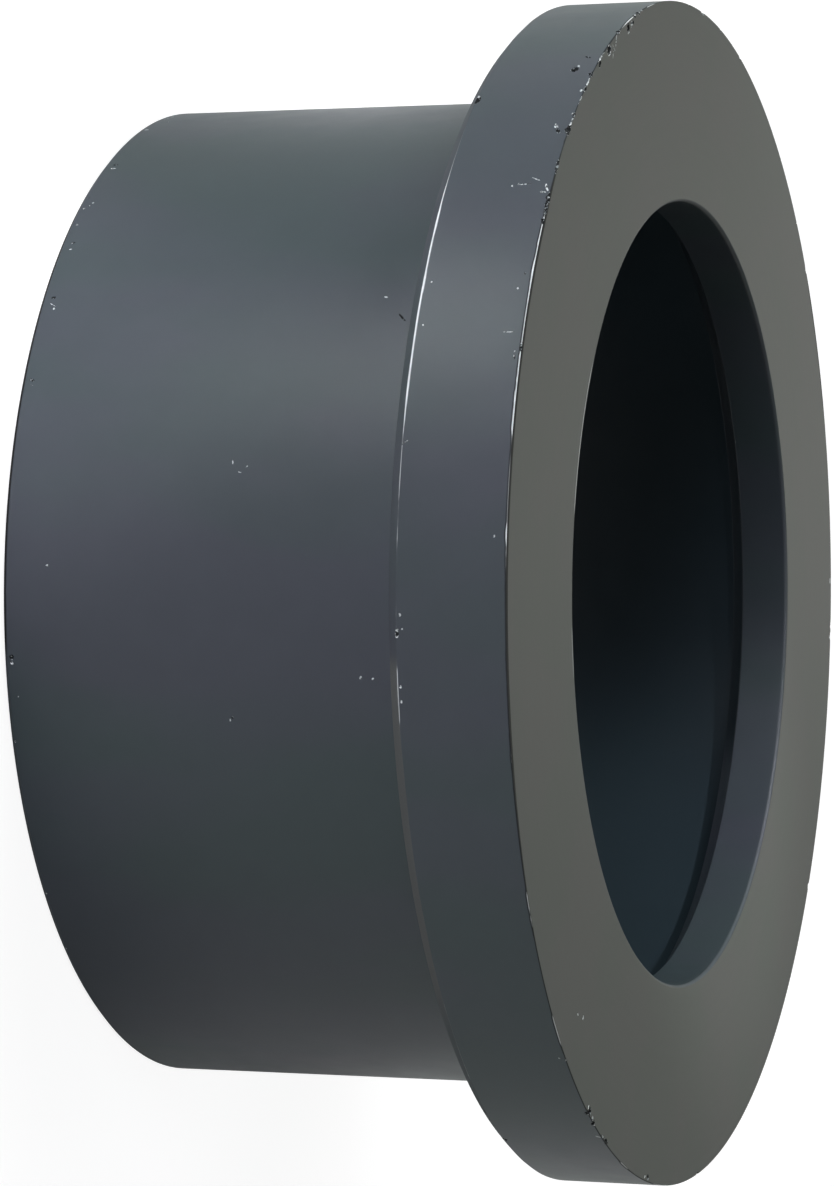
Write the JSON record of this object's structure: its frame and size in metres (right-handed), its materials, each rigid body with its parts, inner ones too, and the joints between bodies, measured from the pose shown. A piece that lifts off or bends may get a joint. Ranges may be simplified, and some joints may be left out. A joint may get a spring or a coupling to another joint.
{
  "type": "lap joint stub end",
  "caption": "Short grey plastic socket sleeve with a flat collar, which a loose backing flange clamps against a gasket to join pipe.",
  "frame": {"origin": "centre of the barrel's socket end, on the surface that it stands on", "axes": "+Z along the pipe axis, from the socket end to the sealing face; X and Y are any two radial directions, because the part is turned"},
  "size_m": [0.09, 0.09, 0.0403],
  "materials": {
    "grey_pvc": "satin grey moulded wall, with a duller sealing face"
  },
  "bodies": {
    "root": {"stub_end": "grey_pvc"}
  },
  "joints": []
}
